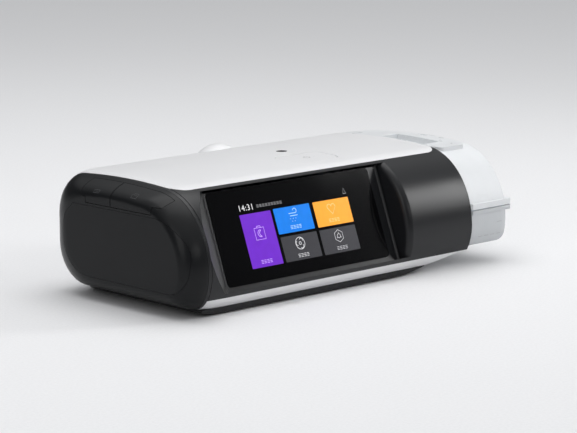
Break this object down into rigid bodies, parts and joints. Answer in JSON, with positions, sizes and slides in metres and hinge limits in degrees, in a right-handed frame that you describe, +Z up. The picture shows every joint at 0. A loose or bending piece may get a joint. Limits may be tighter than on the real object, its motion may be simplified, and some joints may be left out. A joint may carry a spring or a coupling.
{
  "type": "cpap machine",
  "caption": "Bedside breathing-therapy machine with touch display, start button, hinged port doors, swivelling air outlet and slide-out water tank.",
  "frame": {"origin": "table plane under the middle of the machine's bounding box", "axes": "+X along the length from the closed end to the water tank, +Y from the display front to the rear face with the air outlet, +Z up"},
  "size_m": [0.3194, 0.1914, 0.0865],
  "materials": {
    "white_shell": "satin",
    "charcoal_shell": "fine matte",
    "smoked_cap": "semi-gloss",
    "display_glass": "gloss",
    "button_face": "satin",
    "lens": "gloss",
    "clear_tank": "clear",
    "seal": "soft",
    "foot_rubber": "matte",
    "steel": "satin",
    "plate_metal": "satin",
    "inner_plastic": "matte",
    "blower_plastic": "matte",
    "board": "satin",
    "dark_plastic": "matte",
    "dome": "soft",
    "copper": "wound wire",
    "foam": "porous"
  },
  "bodies": {
    "case": {"upper_shell": "white_shell", "lower_shell": "white_shell", "base_plate": "charcoal_shell", "front_panel": "charcoal_shell", "end_ring": "charcoal_shell", "end_cap": "smoked_cap", "end_panel": "smoked_cap", "hinge_pin": "steel", "port_tray": "inner_plastic", "card_slot": "steel", "memory_card": "dark_plastic", "port_socket": "steel", "display_glass": "display_glass", "display_module": "dark_plastic", "display_board": "board", "button_tray": "inner_plastic", "button_board": "board", "button_dome": "dome", "sensor_lens": "lens", "chassis": "steel", "bulkhead": "inner_plastic", "port_seals": "seal", "blower_base": "blower_plastic", "blower_cover": "blower_plastic", "motor_stator": "copper", "motor_bearing": "steel", "blower_duct": "inner_plastic", "outlet_duct": "inner_plastic", "outlet_socket": "inner_plastic", "silencer_box": "inner_plastic", "silencer_foam": "foam", "inlet_filter": "foam", "power_socket": "dark_plastic", "main_board": "board", "speaker": "dark_plastic", "heater_plate": "plate_metal", "case_screws": "steel", "board_screws": "steel", "rubber_feet": "foot_rubber"},
    "tank": {"tank_tub": "clear_tank", "tank_lid": "clear_tank", "tank_gasket": "seal", "tank_plate": "plate_metal"},
    "elbow": {"outlet_elbow": "white_shell"},
    "filter_cover": {"filter_cover": "white_shell"},
    "start_button": {"start_button": "button_face"},
    "card_door": {"card_door": "smoked_cap"},
    "port_door": {"port_door": "smoked_cap"},
    "rotor": {"impeller": "blower_plastic", "motor_shaft": "steel"}
  },
  "joints": [
    {"name": "tank_slide", "type": "slide", "parent": "case", "child": "tank", "axis": [1, 0, 0], "range_m": [0, 0.08]},
    {"name": "elbow_swivel", "type": "hinge", "parent": "case", "child": "elbow", "pos_m": [0.02225, 0.07625, 0.063], "axis": [0, 1, 0], "continuous": true},
    {"name": "filter_pull", "type": "slide", "parent": "case", "child": "filter_cover", "axis": [0, 1, 0], "range_m": [0, 0.012]},
    {"name": "start_press", "type": "slide", "parent": "case", "child": "start_button", "axis": [0, 0, -1], "range_m": [0, 0.0012], "stiffness_N_per_m": 800, "springref_m": -0.0004, "deforming": ["button_dome"]},
    {"name": "card_door_hinge", "type": "hinge", "parent": "case", "child": "card_door", "pos_m": [-0.15755, -0.03375, 0.0707], "axis": [0, -1, 0], "range_deg": [0, 75]},
    {"name": "port_door_hinge", "type": "hinge", "parent": "case", "child": "port_door", "pos_m": [-0.15755, -0.00275, 0.0707], "axis": [0, -1, 0], "range_deg": [0, 75]},
    {"name": "impeller_spin", "type": "hinge", "parent": "case", "child": "rotor", "pos_m": [-0.05975, -0.00975, 0.02], "axis": [0, 0, 1], "continuous": true}
  ]
}
